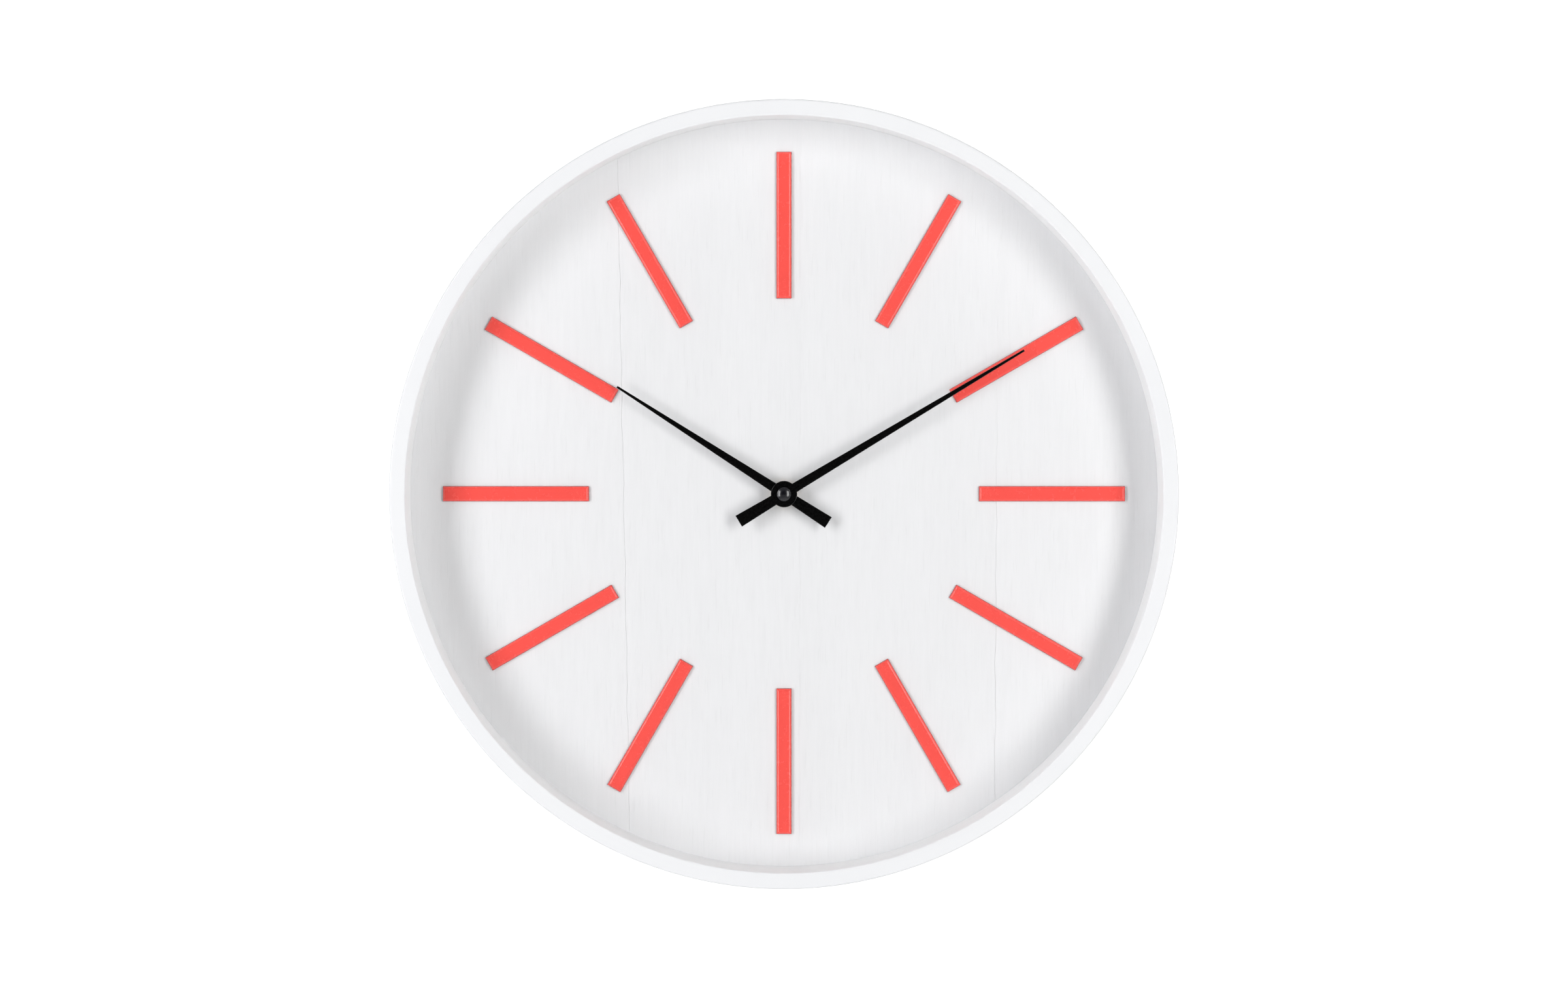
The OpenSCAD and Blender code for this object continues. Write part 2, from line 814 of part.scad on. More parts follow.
// Stamped strips that run from the battery bay up the side walls to the circuit board
module contact_strip() {
  top = 24;
  bottom = -half + shell_t + 1;
  layer(strip_t0, strip_t1) translate([half - shell_t - contact_thick, bottom])
    square([contact_thick, top - bottom]);
}

module contact_plus() {
  color("silver") hung() contact_strip();
}

module contact_minus() {
  reach = cell_x + half - shell_t - contact_thick - 0.15;
  steps = 3;
  wide_r = 4;
  color("silver") hung() {
    mirror([1, 0, 0]) contact_strip();
    translate([-half + shell_t + contact_thick, cell_y, mov_z - cell_t]) rotate([0, 90, 0])
      for (k = [0:steps - 1]) translate([0, 0, k * reach / steps - eps])
        cylinder(r = wide_r - k, h = reach / steps + eps);
  }
}

module battery_can() {
  color("silver") hung() translate([cell_x, cell_y, mov_z - cell_t]) rotate([0, 90, 0]) {
    cylinder(d = cell_d - 0.4, h = cell_len);
    translate([0, 0, cell_len - eps]) cylinder(r = button_r, h = button_len + eps);
  }
}

module battery_sleeve() {
  lap = 0.4;
  color("dimgray") hung() translate([cell_x + lap, cell_y, mov_z - cell_t]) rotate([0, 90, 0]) difference() {
    cylinder(d = cell_d, h = cell_len - 2 * lap);
    translate([0, 0, -1]) cylinder(d = cell_d - 0.4, h = cell_len + 2);
  }
}

case_ring();
dial_board();
for (i = [1:leaf_count]) veneer_leaf(i);
for (i = [1:12]) baton(i);
hour_hand();
minute_hand();
hand_cap();
glue_blocks();
hanger_rail();
hanger_plate();
hanger_screws();
rubber_washer();
nut_washer();
dial_nut();
threaded_bush();
movement_front();
movement_cover();
train_plate();
hour_wheel();
minute_pipe();
minute_wheel();
setting_knob();
centre_wheel();
third_wheel();
seconds_wheel();
intermediate_wheel();
rotor_pinion();
rotor_magnet();
stator();
coil_core();
coil_bobbin();
coil_winding();
circuit_board();
quartz_crystal();
chip_cap();
contact_plus();
contact_minus();
battery_can();
battery_sleeve();
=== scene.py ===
import math

import bmesh
import bpy
from mathutils import Matrix, Vector


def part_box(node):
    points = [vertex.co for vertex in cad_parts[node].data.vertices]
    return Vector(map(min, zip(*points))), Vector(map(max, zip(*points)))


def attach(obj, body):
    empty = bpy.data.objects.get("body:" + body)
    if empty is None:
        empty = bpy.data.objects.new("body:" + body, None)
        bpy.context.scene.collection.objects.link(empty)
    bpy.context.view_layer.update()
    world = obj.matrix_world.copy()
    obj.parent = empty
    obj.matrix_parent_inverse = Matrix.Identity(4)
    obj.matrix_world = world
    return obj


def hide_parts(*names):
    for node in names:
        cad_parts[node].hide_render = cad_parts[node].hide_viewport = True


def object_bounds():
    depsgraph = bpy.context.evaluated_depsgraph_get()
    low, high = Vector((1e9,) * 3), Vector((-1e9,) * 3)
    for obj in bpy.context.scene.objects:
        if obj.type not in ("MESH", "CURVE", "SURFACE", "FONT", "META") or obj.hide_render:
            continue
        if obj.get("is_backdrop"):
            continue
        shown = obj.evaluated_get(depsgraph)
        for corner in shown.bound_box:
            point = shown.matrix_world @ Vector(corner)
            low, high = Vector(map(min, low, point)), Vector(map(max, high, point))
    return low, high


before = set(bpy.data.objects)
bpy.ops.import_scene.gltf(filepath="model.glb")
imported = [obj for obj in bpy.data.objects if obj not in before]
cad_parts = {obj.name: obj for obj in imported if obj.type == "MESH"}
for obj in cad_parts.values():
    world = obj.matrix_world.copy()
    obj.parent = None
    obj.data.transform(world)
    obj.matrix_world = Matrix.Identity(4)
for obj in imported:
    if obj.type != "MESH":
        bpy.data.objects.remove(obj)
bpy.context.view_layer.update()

# ---- Hoop ----
# The hoop is one band of wood, bent round, scarfed and sanded, with flat edges and eased corners.
# It is sprayed with satin white lacquer, which leaves a faint orange peel. The inside wall is more matt,
# and its white is painted brighter as painted light for the light bounced round inside the hoop.
hoop_low, hoop_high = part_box("case_ring")
hands_axis = Vector((0, 0, (hoop_low.z + hoop_high.z) / 2))  # the middle of the dial
hoop_r = (hoop_high.x - hoop_low.x) / 2
hoop_wall = 0.0083
hoop_inner_r = hoop_r - hoop_wall
rim_y = hoop_low.y


def arc(centre, radius, start, end, steps=6):
    """Points along a round corner of an outline, from one angle in degrees to another."""
    turns = [math.radians(start + (end - start) * k / steps) for k in range(steps + 1)]
    return [(centre[0] + radius * math.cos(a), centre[1] + radius * math.sin(a)) for a in turns]


def new_piece(name, shape, finishes=(), sharp=35):
    """Turns a finished bmesh into an object, smooth apart from its sharp edges."""
    bmesh.ops.recalc_face_normals(shape, faces=shape.faces)
    mesh = bpy.data.meshes.new(name)
    shape.to_mesh(mesh)
    shape.free()
    for face in mesh.polygons:
        face.use_smooth = True
    mesh.set_sharp_from_angle(angle=math.radians(sharp))
    for finish in finishes:
        mesh.materials.append(finish)
    piece = bpy.data.objects.new(name, mesh)
    bpy.context.scene.collection.objects.link(piece)
    even = piece.modifiers.new("even", "WEIGHTED_NORMAL")
    even.keep_sharp = True
    return piece


def turn_into(shape, outline, steps, at=(0, 0, 0), along="Y"):
    """Sweeps a section of (radius, distance along) points round an axis. Radius 0 closes the end."""
    rings = []
    for radius, reach in outline:
        ring = []
        for step in range(1 if radius < 1e-9 else steps):
            a = 2 * math.pi * step / steps
            u, v = radius * math.cos(a), radius * math.sin(a)
            place = (u, reach, v) if along == "Y" else (reach, u, v)
            ring.append(shape.verts.new(Vector(place) + Vector(at)))
        rings.append(ring)
    pairs = list(zip(rings, rings[1:]))
    if len(rings[0]) > 1 and len(rings[-1]) > 1:
        pairs.append((rings[-1], rings[0]))
    for one, two in pairs:
        for step in range(steps):
            k = (step + 1) % steps
            corners = [one[step % len(one)], one[k % len(one)]]
            corners += [two[k % len(two)], two[step % len(two)]]
            if len(one) == 1:
                corners = corners[1:]
            elif len(two) == 1:
                corners = corners[:3]
            shape.faces.new(corners)


def new_finish(name, colour, roughness, **sockets):
    """A Principled finish. Whatever is the same all over is set on the shader's own socket."""
    finish = bpy.data.materials.new(name)
    finish.use_nodes = True
    shader = finish.node_tree.nodes["Principled BSDF"]
    shader.inputs["Base Color"].default_value = (*colour, 1)
    shader.inputs["Roughness"].default_value = roughness
    for socket, value in sockets.items():
        shader.inputs[socket.replace("_", " ")].default_value = value
    return finish


def node(finish, kind, inputs, **settings):
    """Adds a node to a finish. An input is a number, or another node's output to link."""
    made = finish.node_tree.nodes.new("ShaderNode" + kind)
    for name, value in settings.items():
        setattr(made, name, value)
    for key, value in inputs.items():
        if isinstance(value, bpy.types.NodeSocket):
            finish.node_tree.links.new(value, made.inputs[key])
        else:
            made.inputs[key].default_value = value
    return made


def noise(finish, scale, detail=3.0, stretch=(1, 1, 1), shift=(0, 0, 0), roughness=0.55):
    """Cloudy grain at scale lumps a metre, drawn out along an axis where stretch is under 1."""
    place = node(finish, "TexCoord", {}).outputs["Object"]
    spot = node(finish, "Mapping", {"Vector": place, "Scale": stretch, "Location": shift})
    look = {"Vector": spot.outputs["Vector"], "Scale": scale, "Detail": detail, "Roughness": roughness}
    return node(finish, "TexNoise", look).outputs["Fac"]


def spread(finish, fac, low, high, start=0.35, end=0.65):
    """Stretches a grain's middle band over the range from low to high."""
    band = {"Value": fac, "From Min": start, "From Max": end, "To Min": low, "To Max": high}
    return node(finish, "MapRange", band).outputs["Result"]


def tint(finish, fac, low, high):
    """A colour that runs from low to high with a grain."""
    mixer = node(finish, "Mix", {"Factor": fac, 6: (*low, 1), 7: (*high, 1)}, data_type="RGBA")
    return mixer.outputs[2]


def dress(finish, colour=None, roughness=None, height=None, strength=0.5, depth=0.0001):
    """Plugs a finish's grains into its shader: colour, roughness, and a bump of that depth in metres."""
    shader = finish.node_tree.nodes["Principled BSDF"]
    if colour is not None:
        finish.node_tree.links.new(colour, shader.inputs["Base Color"])
    if roughness is not None:
        finish.node_tree.links.new(roughness, shader.inputs["Roughness"])
    if height is not None:
        bump = node(finish, "Bump", {"Height": height, "Strength": strength, "Distance": depth})
        finish.node_tree.links.new(bump.outputs["Normal"], shader.inputs["Normal"])
    return finish


lacquer = new_finish("white_lacquer", (0.868, 0.872, 0.887), 0.38, Coat_Weight=0.15, Coat_Roughness=0.3)
lacquer_cloud = spread(lacquer, noise(lacquer, 9), 0, 1)
lacquer_peel = noise(lacquer, 620, detail=2)
dress(
    lacquer,
    colour=tint(lacquer, lacquer_cloud, (0.862, 0.866, 0.882), (0.877, 0.881, 0.894)),
    roughness=spread(lacquer, noise(lacquer, 60), 0.33, 0.43),
    height=lacquer_peel,
    strength=0.25,
    depth=0.00006,
)

# A brighter copy of the same lacquer for the inside wall: painted light for the light that the dial and
# walls bounce inside the hoop.
inside_lacquer_painted_light = new_finish("inside_lacquer_painted_light", (0.93, 0.933, 0.937), 0.5)
inside_cloud = spread(inside_lacquer_painted_light, noise(inside_lacquer_painted_light, 40), 0, 1)
dress(
    inside_lacquer_painted_light,
    colour=tint(inside_lacquer_painted_light, inside_cloud, (0.911, 0.919, 0.923), (0.941, 0.949, 0.953)),
    roughness=spread(inside_lacquer_painted_light, noise(inside_lacquer_painted_light, 90), 0.45, 0.58),
    height=noise(inside_lacquer_painted_light, 620, detail=2),
    strength=0.2,
    depth=0.00005,
)

rim_round = 0.0012
lip_round = 0.0008
back_round = 0.001
hoop_outline = (
    arc((hoop_r - rim_round, rim_y + rim_round), rim_round, 0, -90)
    + arc((hoop_inner_r + lip_round, rim_y + lip_round), lip_round, -90, -180)
    + arc((hoop_inner_r + back_round, hoop_high.y - back_round), back_round, 180, 90)
    + arc((hoop_r - back_round, hoop_high.y - back_round), back_round, 90, 0)
)
hoop_shape = bmesh.new()
turn_into(hoop_shape, hoop_outline, 512, hands_axis)
# The faces of the inside wall take the brighter copy: painted light.
for face in hoop_shape.faces:
    middle = face.calc_center_median() - hands_axis
    inside = math.hypot(middle.x, middle.z) < hoop_inner_r + 0.00005
    face.material_index = 1 if inside else 0
hoop = new_piece("hoop", hoop_shape, [lacquer, inside_lacquer_painted_light])
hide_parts("case_ring")
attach(hoop, "case")

# ---- Dial board ----
# The board is a disc of medium density fibreboard, sawn to fit the hoop and drilled for the bush.
# Its back is left bare, brown and fibrous. White paint has soaked into the front through the joints.
fibreboard = new_finish("bare_fibreboard", (0.36, 0.25, 0.15), 0.85)
fibre = noise(fibreboard, 900, detail=5, roughness=0.7)
bare = tint(fibreboard, spread(fibreboard, fibre, 0, 1), (0.29, 0.19, 0.11), (0.45, 0.32, 0.2))
board_front_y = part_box("dial_board")[0].y
board_place = node(fibreboard, "TexCoord", {}).outputs["Object"]
depth_in = node(fibreboard, "SeparateXYZ", {0: board_place}).outputs["Y"]
soaked_depth = 0.0002
soaked = spread(fibreboard, depth_in, 0, 1, board_front_y, board_front_y + soaked_depth)
soak = {"Factor": soaked, 6: (0.78, 0.785, 0.79, 1), 7: bare}
dress(
    fibreboard,
    colour=node(fibreboard, "Mix", soak, data_type="RGBA").outputs[2],
    height=fibre,
    strength=0.5,
    depth=0.00015,
)


def refinish(finish, *names):
    """Gives a finish to pieces brought in from model.glb."""
    for name in names:
        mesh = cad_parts[name].data
        for k in range(max(1, len(mesh.materials))):
            if k < len(mesh.materials):
                mesh.materials[k] = finish
            else:
                mesh.materials.append(finish)


refinish(fibreboard, "dial_board")

# ---- Veneer ----
# Four leaves of wood veneer are glued to the board side by side with the grain upright.
# They are painted thinly in white, so that the grain and the three joints still show faintly.
dial_front_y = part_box("veneer_leaf_2")[0].y
bush_hole_r = 0.00425
bush_hole_cuts = 24
dial_r = hoop_inner_r - 0.00001
joints = ((-0.0823, -0.0174), (0.0083, 0.002), (0.109, 0.004))  # place at the middle, and lean
joint_gaps = ((0.00006, 0.00006), (0.000016, 0.000016), (0.00001, 0.00007))  # top, and bottom
leaf_columns = 12
row_turn = 1.5
leaf_edge_round = 0.00003
gap_change = 0.16  # the height over which a joint goes from its top width to its bottom one
halvings = 40
paint_tone = 0.806
paint_blue = 1.014
pore_shade = -0.023
speck_shade = -0.35


def painted_grain(leaf):
    """White paint over upright grain, with open pores and a few dark specks. No two leaves are alike."""
    paint = new_finish(f"painted_veneer_{leaf}", (0.8, 0.805, 0.815), 0.5)
    shift = (0.37 * leaf, 0.11 * leaf, 0.53 * leaf)
    figure = spread(paint, noise(paint, 26, 2, (1, 1, 0.12), shift), -0.006, 0.006)
    streaks = spread(paint, noise(paint, 520, 4, (1, 1, 0.07), shift, 0.65), -0.008, 0.008)
    pores = spread(paint, noise(paint, 1300, 2, (1, 1, 0.05), shift), 0, 1, 0.6, 0.72)
    place = node(paint, "TexCoord", {}).outputs["Object"]
    cells = node(paint, "TexVoronoi", {"Vector": place, "Scale": 38.0, "Randomness": 1.0})
    speck = spread(paint, cells.outputs["Distance"], 1, 0, 0.008, 0.014)
    chosen = node(paint, "Math", {0: cells.outputs["Color"], 1: 0.72}, operation="GREATER_THAN")
    specks = node(paint, "Math", {0: speck, 1: chosen.outputs[0]}, operation="MULTIPLY").outputs[0]
    tone = node(paint, "Math", {0: figure, 1: streaks}, operation="ADD").outputs[0]
    tone = node(paint, "Math", {0: pores, 1: pore_shade, 2: tone}, operation="MULTIPLY_ADD").outputs[0]
    tone = node(paint, "Math", {0: specks, 1: speck_shade, 2: tone}, operation="MULTIPLY_ADD").outputs[0]
    tone = node(paint, "Math", {0: tone, 1: paint_tone}, operation="ADD").outputs[0]
    cool = node(paint, "Math", {0: tone, 1: paint_blue}, operation="MULTIPLY").outputs[0]
    colour = node(paint, "CombineColor", {0: tone, 1: tone, 2: cool})
    return dress(
        paint,
        colour=colour.outputs[0],
        roughness=spread(paint, noise(paint, 520, 4, (1, 1, 0.07), shift, 0.65), 0.44, 0.6),
        height=node(paint, "Math", {0: pores, 1: -1.0, 2: streaks}, operation="MULTIPLY_ADD").outputs[0],
        strength=0.35,
        depth=0.00008,
    )


def joint_x(joint, z):
    """Where a joint is at a height: the knife wanders a little as it follows the grain."""
    middle, lean = joints[joint]
    wander = 0.00024 * math.sin(z * 128 + 1.7 * joint) + 0.00014 * math.sin(z * 301 + 2.9 * joint)
    return middle + lean * z + wander


def half_gap(joint, z):
    """Half the width of a joint at a height: paint has filled some joints more than others."""
    top, bottom = joint_gaps[joint]
    low = min(1, max(0, 0.5 - z / gap_change))
    return (top + (bottom - top) * low) / 2


def leaf_edges(leaf, z):
    """The left and right edge of a leaf at a height: a joint, or the trimmed round of the dial."""
    half = math.sqrt(max(0, dial_r ** 2 - z ** 2))
    left = joint_x(leaf - 2, z) + half_gap(leaf - 2, z) if leaf > 1 else -half
    right = joint_x(leaf - 1, z) - half_gap(leaf - 1, z) if leaf <= len(joints) else half
    return max(left, -half), min(right, half)


def joint_end(joint, inside, outside):
    """The height at which a joint runs out at the round of the dial."""
    for _ in range(halvings):
        z = (inside + outside) / 2
        if joint_x(joint, z) ** 2 + z ** 2 < dial_r ** 2:
            inside = z
        else:
            outside = z
    return inside


def leaf_tip(leaf, inside, outside):
    """The height between two rows at which a leaf comes to its point."""
    for _ in range(halvings):
        z = (inside + outside) / 2
        left, right = leaf_edges(leaf, z)
        if right > left:
            inside = z
        else:
            outside = z
    return inside


for leaf in range(1, len(joints) + 2):
    shape = bmesh.new()
    own_joints = [joint for joint in (leaf - 2, leaf - 1) if 0 <= joint < len(joints)]
    corners = [joint_end(joint, 0, end) for joint in own_joints for end in (-dial_r, dial_r)]
    heights = [dial_r * math.sin(math.radians(row_turn * k)) for k in range(-60, 61)]
    heights = [z for z in heights if min(abs(z - corner) for corner in corners) > 0.0003]
    heights = sorted(corners + heights)
    heights = [z for z in heights if leaf_edges(leaf, z)[1] - leaf_edges(leaf, z)[0] > 0.001]
    low_tip = leaf_tip(leaf, heights[0], -dial_r)
    high_tip = leaf_tip(leaf, heights[-1], dial_r)
    rows = [[shape.verts.new((leaf_edges(leaf, low_tip)[0], 0, low_tip))]]
    for z in heights:
        left, right = leaf_edges(leaf, z)
        spots = [left + (right - left) * k / leaf_columns for k in range(leaf_columns + 1)]
        rows.append([shape.verts.new((x, 0, z)) for x in spots])
    rows.append([shape.verts.new((leaf_edges(leaf, high_tip)[0], 0, high_tip))])
    for one, two in zip(rows, rows[1:]):
        for k in range(leaf_columns):
            patch = [one[min(k, len(one) - 1)], one[min(k + 1, len(one) - 1)]]
            patch += [two[min(k + 1, len(two) - 1)], two[min(k, len(two) - 1)]]
            shape.faces.new(list(dict.fromkeys(patch)))
    if leaf == 2:
        for k in range(bush_hole_cuts):
            a = math.radians(360 / bush_hole_cuts * k)
            out = Vector((math.cos(a), 0, math.sin(a)))
            near = [f for f in shape.faces if f.calc_center_median().length < 0.014]
            around = near + list({e for f in near for e in f.edges})
            around += list({v for f in near for v in f.verts})
            start = out * bush_hole_r
            bmesh.ops.bisect_plane(shape, geom=around, plane_co=start, plane_no=out, dist=1e-7)
        hole = [f for f in shape.faces if f.calc_center_median().length < bush_hole_r]
        bmesh.ops.delete(shape, geom=hole, context="FACES")
    front = shape.faces[:]
    made = bmesh.ops.extrude_face_region(shape, geom=front)["geom"]
    back = [v for v in made if isinstance(v, bmesh.types.BMVert)]
    bmesh.ops.translate(shape, vec=(0, board_front_y - dial_front_y, 0), verts=back)
    bmesh.ops.recalc_face_normals(shape, faces=shape.faces)
    shape.normal_update()
    lip = [e for e in shape.edges if len(e.link_faces) == 2 and e.calc_face_angle() > 1]
    lip = [e for e in lip if max(abs(v.co.y) for v in e.verts) < 1e-6]
    bmesh.ops.bevel(shape, geom=lip, offset=leaf_edge_round, segments=2, affect="EDGES", profile=0.5)
    bmesh.ops.translate(shape, vec=hands_axis + Vector((0, dial_front_y, 0)), verts=shape.verts)
    veneer = new_piece(f"veneer_{leaf}", shape, [painted_grain(leaf)], sharp=50)
    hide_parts(f"veneer_leaf_{leaf}")
    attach(veneer, "case")

# ---- Hour strips ----
# Twelve strips are cut from coral acrylic sheet, rounded over along the front and glued to the dial.
# The sides, and the rounding next to them, are painted a dark red: painted shade along the outline where
# each strip meets the dial. Each strip points at the middle.
strip_low, strip_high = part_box("baton_12")
strip_w = strip_high.x - strip_low.x
strip_len = strip_high.z - strip_low.z
strip_thick = strip_high.y - strip_low.y
strip_round = 0.0016
strip_corner = 0.00025
painted_shade_levels = 5  # the levels from the back up into the rounding that get the dark red: painted shade

acrylic = new_finish("coral_acrylic", (0.96, 0.09, 0.073), 0.26, Coat_Weight=0.25, Coat_Roughness=0.12)
acrylic_cloud = spread(acrylic, noise(acrylic, 45), 0, 1)
dress(
    acrylic,
    colour=tint(acrylic, acrylic_cloud, (0.95, 0.088, 0.071), (0.97, 0.093, 0.076)),
    roughness=spread(acrylic, noise(acrylic, 500, 4), 0.23, 0.28),
    height=noise(acrylic, 160, 3),
    strength=0.02,
    depth=0.00002,
)
# A dark red for the sides and the edge of the rounding: painted shade along the strip's outline.
cut_side_painted_shade = new_finish("acrylic_side_painted_shade", (0.4, 0.07, 0.07), 0.5)
sawn = noise(cut_side_painted_shade, 900, 3, (1, 0.1, 1))
dress(
    cut_side_painted_shade,
    colour=tint(cut_side_painted_shade, spread(cut_side_painted_shade, sawn, 0, 1), (0.34, 0.055, 0.055), (0.46, 0.085, 0.08)),
    roughness=spread(cut_side_painted_shade, sawn, 0.4, 0.6),
    height=sawn,
    strength=0.3,
    depth=0.00003,
)


def rounded_ring(shape, w, length, corner, y):
    """One level of a strip: a rectangle with eased corners."""
    spots = []
    for sx, sz, start in ((1, 1, 0), (-1, 1, 90), (-1, -1, 180), (1, -1, 270)):
        spots += arc((sx * (w / 2 - corner), sz * (length / 2 - corner)), corner, start, start + 90, 3)
    return [shape.verts.new((x, y, z)) for x, z in spots]


for hour in range(1, 13):
    low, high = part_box(f"baton_{hour}")
    shape = bmesh.new()
    levels = [rounded_ring(shape, strip_w, strip_len, strip_corner, strip_thick / 2)]
    for inset, rise in arc((strip_round, strip_round), strip_round, 180, 270, 12):
        y = rise - strip_thick / 2
        levels.append(rounded_ring(shape, strip_w - 2 * inset, strip_len - 2 * inset, strip_corner, y))
    for k, (one, two) in enumerate(zip(levels, levels[1:])):
        for at in range(len(one)):
            side = shape.faces.new([one[at], one[at - 1], two[at - 1], two[at]])
            # The lower levels take the dark red: painted shade.
            side.material_index = 1 if k < painted_shade_levels else 0
    shape.faces.new(levels[-1])
    shape.faces.new(levels[0])
    strip = new_piece(f"hour_strip_{hour}", shape, [acrylic, cut_side_painted_shade], sharp=60)
    turn = Matrix.Rotation(math.radians(30 * hour), 4, "Y")
    strip.matrix_world = Matrix.Translation((low + high) / 2) @ turn
    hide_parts(f"baton_{hour}")
    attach(strip, "case")

# ---- Nut, washer and bush ----
# The movement hangs on its brass bush, which comes through the dial and is held by a thin brass nut.
# A brass washer lies under the nut and a rubber one behind the dial.
brass = new_finish("turned_brass", (0.72, 0.5, 0.2), 0.28, Metallic=1.0)
dress(
    brass,
    colour=tint(brass, spread(brass, noise(brass, 300), 0, 1), (0.62, 0.42, 0.16), (0.78, 0.56, 0.25)),
    roughness=spread(brass, noise(brass, 1500, 3), 0.2, 0.38),
    height=noise(brass, 2500, 2),
    strength=0.1,
    depth=0.00003,
)
refinish(brass, "nut_washer", "dial_nut", "threaded_bush")

rubber = new_finish("black_rubber", (0.02, 0.02, 0.021), 0.75)
dress(
    rubber,
    roughness=spread(rubber, noise(rubber, 700), 0.65, 0.85),
    height=noise(rubber, 1800, 3),
    strength=0.3,
    depth=0.00005,
)
refinish(rubber, "rubber_washer")

# ---- Hands ----
# Each hand is stamped from thin sheet with a round boss, a straight tapered blade and a blunt tail.
# A small collet under the boss grips the pipe or the arbor. The edges are rolled over by the stamping.
hand_thick = 0.0006
hand_edge = 0.0003
boss_r = 0.00675
tail_reach = 0.027
tail_half = 0.00325
hub_half = 0.00255
tip_half = 0.00055

stove_black = new_finish("stove_black", (0.0008, 0.0008, 0.0009), 0.2, Specular_IOR_Level=0.5)
black_cloud = spread(stove_black, noise(stove_black, 200), 0, 1)
dress(
    stove_black,
    colour=tint(stove_black, black_cloud, (0.0005, 0.0005, 0.0005), (0.0011, 0.001, 0.001)),
    roughness=spread(stove_black, noise(stove_black, 900, 4), 0.14, 0.24),
    height=noise(stove_black, 1400, 3),
    strength=0.15,
    depth=0.00003,
)


def reach_circle(start, end, radius):
    """Where the line from start to end crosses the boss."""
    dx, dz = end[0] - start[0], end[1] - start[1]
    a = dx * dx + dz * dz
    b = 2 * (start[0] * dx + start[1] * dz)
    c = start[0] ** 2 + start[1] ** 2 - radius * radius
    root = math.sqrt(b * b - 4 * a * c)
    t = min((k for k in ((-b - root) / (2 * a), (-b + root) / (2 * a)) if 0 <= k <= 1))
    return start[0] + t * dx, start[1] + t * dz


def stamped_hand(name, node_name, length, bore_r, collet_r, angle, body):
    """One hand: two half outlines that meet on the middle line, made thick, with a rolled edge."""
    low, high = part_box(node_name)
    above = reach_circle((hub_half, 0), (tip_half, length), boss_r)
    below = reach_circle((tail_half, -tail_reach), (hub_half, 0), boss_r)
    rise = math.degrees(math.atan2(above[1], above[0]))
    drop = math.degrees(math.atan2(below[1], below[0]))
    outline = [(0, bore_r), (0, length), (tip_half, length)]
    outline += arc((0, 0), boss_r, rise, drop, 20)
    outline += [(tail_half, -tail_reach), (0, -tail_reach)]
    outline += arc((0, 0), bore_r, -90, 90, 20)[:-1]
    shape = bmesh.new()
    for side in (-1, 1):
        shape.faces.new([shape.verts.new((side * x, 0, z)) for x, z in outline])
    bmesh.ops.remove_doubles(shape, verts=shape.verts, dist=1e-7)
    bmesh.ops.recalc_face_normals(shape, faces=shape.faces)
    made = bmesh.ops.extrude_face_region(shape, geom=shape.faces[:])["geom"]
    under = [v for v in made if isinstance(v, bmesh.types.BMVert)]
    bmesh.ops.translate(shape, vec=(0, hand_thick, 0), verts=under)
    bmesh.ops.recalc_face_normals(shape, faces=shape.faces)
    shape.normal_update()
    rolled = [e for e in shape.edges if e.calc_face_angle(0) > 1]
    rolled = [e for e in rolled if max(v.co.y for v in e.verts) < 1e-7]
    bmesh.ops.bevel(shape, geom=rolled, offset=hand_edge, segments=3, affect="EDGES", profile=0.5)
    collet_end = high.y - low.y
    collet = [(bore_r, hand_thick), (collet_r, hand_thick), (collet_r, collet_end), (bore_r, collet_end)]
    turn_into(shape, collet, 64)
    hand = new_piece(name, shape, [stove_black], sharp=40)
    turn = Matrix.Rotation(math.radians(angle), 4, "Y")
    hand.matrix_world = Matrix.Translation((0, low.y, hands_axis.z)) @ turn
    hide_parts(node_name)
    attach(hand, body)


hour_size = {"length": 0.1015, "bore_r": 0.0025, "collet_r": 0.0036}
minute_size = {"length": 0.143, "bore_r": 0.0016, "collet_r": 0.0026}
stamped_hand("hour_hand_blade", "hour_hand", angle=302.7, body="hour_set", **hour_size)
stamped_hand("minute_hand_blade", "minute_hand", angle=59.1, body="minute_set", **minute_size)

# ---- Cap ----
# A closed cap nut with a domed top screws on the end of the minute arbor and holds both hands.
# It is turned from brass and finished in gloss black.
cap_low, cap_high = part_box("hand_cap")
cap_r = (cap_high.x - cap_low.x) / 2
cap_dome = 0.00115
cap_edge = 0.0002
dome_r = (cap_r ** 2 + cap_dome ** 2) / (2 * cap_dome)
dome_sweep = math.degrees(math.asin((cap_r - cap_edge) / dome_r))
gloss_black = new_finish("gloss_black", (0.005, 0.005, 0.008), 0.2, Coat_Weight=0.5, Coat_Roughness=0.16)
gloss_cloud = spread(gloss_black, noise(gloss_black, 500), 0, 1)
dress(
    gloss_black,
    colour=tint(gloss_black, gloss_cloud, (0.004, 0.004, 0.0066), (0.006, 0.006, 0.009)),
    roughness=spread(gloss_black, noise(gloss_black, 900), 0.18, 0.26),
)
cap_shape = bmesh.new()
cap_outline = arc((0, cap_low.y + dome_r), dome_r, -90, -90 + dome_sweep, 18)
cap_outline[0] = (0, cap_low.y)
shoulder_y = cap_outline[-1][1] + cap_edge
cap_outline += arc((cap_r - cap_edge, shoulder_y), cap_edge, -50, 0, 4)
cap_bore_r = 0.0016
cap_bore_depth = 0.0011
cap_outline += [(cap_r, cap_high.y - cap_edge), (cap_r - cap_edge, cap_high.y), (cap_bore_r, cap_high.y)]
cap_outline += [(cap_bore_r, cap_high.y - cap_bore_depth), (0, cap_high.y - cap_bore_depth)]
turn_into(cap_shape, cap_outline, 96, (0, 0, hands_axis.z))
cap = new_piece("domed_cap", cap_shape, [gloss_black], sharp=50)
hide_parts("hand_cap")
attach(cap, "minute_set")

# ---- Blocks, rail and hanger ----
# Five wedge blocks of softwood hold the dial board in the hoop. A sawn rail takes the weight.
# The zinc plated keyhole plate is screwed to the rail with two countersunk screws.


